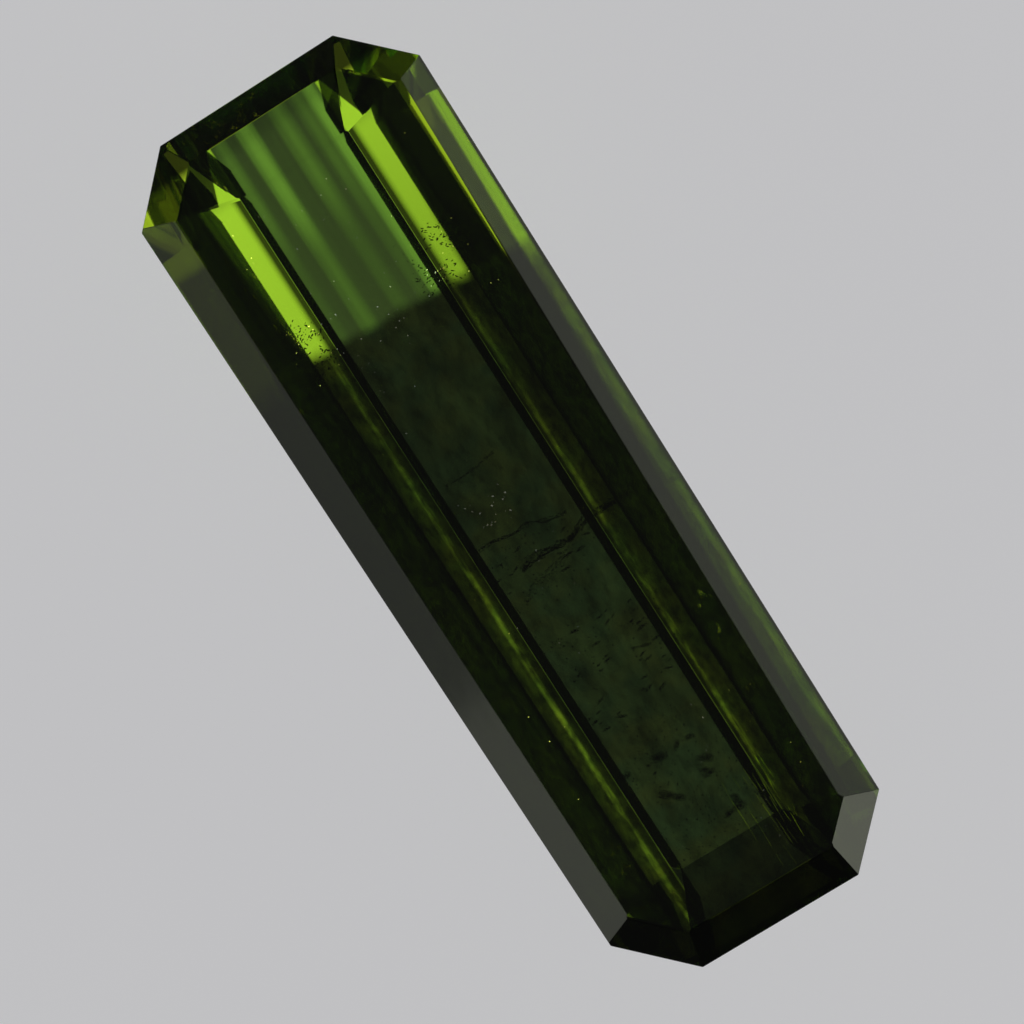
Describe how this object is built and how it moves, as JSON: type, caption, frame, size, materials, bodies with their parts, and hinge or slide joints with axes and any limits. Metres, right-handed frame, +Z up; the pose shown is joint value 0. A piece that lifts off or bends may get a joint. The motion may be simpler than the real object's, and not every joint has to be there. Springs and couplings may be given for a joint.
{
  "type": "cut tourmaline crystal",
  "caption": "Long step-cut green tourmaline, clear and faceted, pale at one end, lying on its flat culet with its narrow table up.",
  "frame": {"origin": "centre of the stone's outline, at the level of the flat culet that it rests on", "axes": "+X along the stone from its pale end to its dark end, +Y across it, +Z up through the table"},
  "size_m": [0.015, 0.005, 0.0033],
  "materials": {
    "green_tourmaline": "clear crystal, polished facets"
  },
  "bodies": {
    "root": {"cut_stone": "green_tourmaline"}
  },
  "joints": []
}
